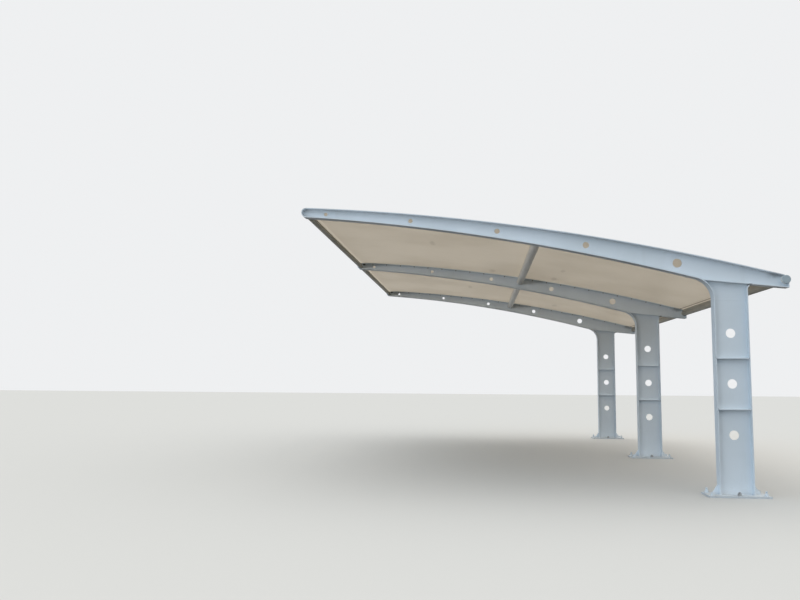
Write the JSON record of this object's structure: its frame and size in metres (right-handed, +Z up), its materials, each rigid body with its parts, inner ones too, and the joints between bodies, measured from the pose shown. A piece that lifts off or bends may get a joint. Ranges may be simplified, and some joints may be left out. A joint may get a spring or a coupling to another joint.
{
  "type": "filling station membrane canopy",
  "caption": "Cantilever canopy of welded white steel frames with curved tapering beams, lengthwise tubes and a stretched membrane roof.",
  "frame": {"origin": "middle of the underside of the middle column's base plate", "axes": "+Z up, +Y along the row of frames, away from the near frame, +X from the open front towards the back tube"},
  "size_m": [5.4215, 8.92, 3.2039],
  "materials": {
    "base_paint": "white paint, splashed with cement and dust at the foot",
    "column_paint": "white sprayed enamel over welded steel",
    "beam_paint": "white sprayed enamel over welded steel",
    "tube_paint": "white sprayed enamel over welded steel",
    "clamp_strip": "mill finish flat bar",
    "membrane": "coated polyester membrane, smooth and slightly glossy, cream from below where light comes through"
  },
  "bodies": {
    "root": {"near_base_plate": "base_paint", "near_base_gussets": "base_paint", "near_column": "column_paint", "near_column_stiffeners": "column_paint", "near_knee": "column_paint", "near_beam_web": "beam_paint", "near_beam_nose": "beam_paint", "near_beam_top_flange": "beam_paint", "near_beam_bottom_flange": "beam_paint", "near_heel_plate": "beam_paint", "near_clamp_strip": "clamp_strip", "middle_base_plate": "base_paint", "middle_base_gussets": "base_paint", "middle_column": "column_paint", "middle_column_stiffeners": "column_paint", "middle_knee": "column_paint", "middle_beam_web": "beam_paint", "middle_beam_nose": "beam_paint", "middle_beam_top_flange": "beam_paint", "middle_beam_bottom_flange": "beam_paint", "middle_heel_plate": "beam_paint", "middle_clamp_strip": "clamp_strip", "far_base_plate": "base_paint", "far_base_gussets": "base_paint", "far_column": "column_paint", "far_column_stiffeners": "column_paint", "far_knee": "column_paint", "far_beam_web": "beam_paint", "far_beam_nose": "beam_paint", "far_beam_top_flange": "beam_paint", "far_beam_bottom_flange": "beam_paint", "far_heel_plate": "beam_paint", "far_clamp_strip": "clamp_strip", "near_front_tube": "tube_paint", "near_middle_tube": "tube_paint", "near_back_tube": "tube_paint", "near_tube_cap": "tube_paint", "far_front_tube": "tube_paint", "far_middle_tube": "tube_paint", "far_back_tube": "tube_paint", "far_tube_cap": "tube_paint", "near_membrane": "membrane", "far_membrane": "membrane"}
  },
  "joints": []
}
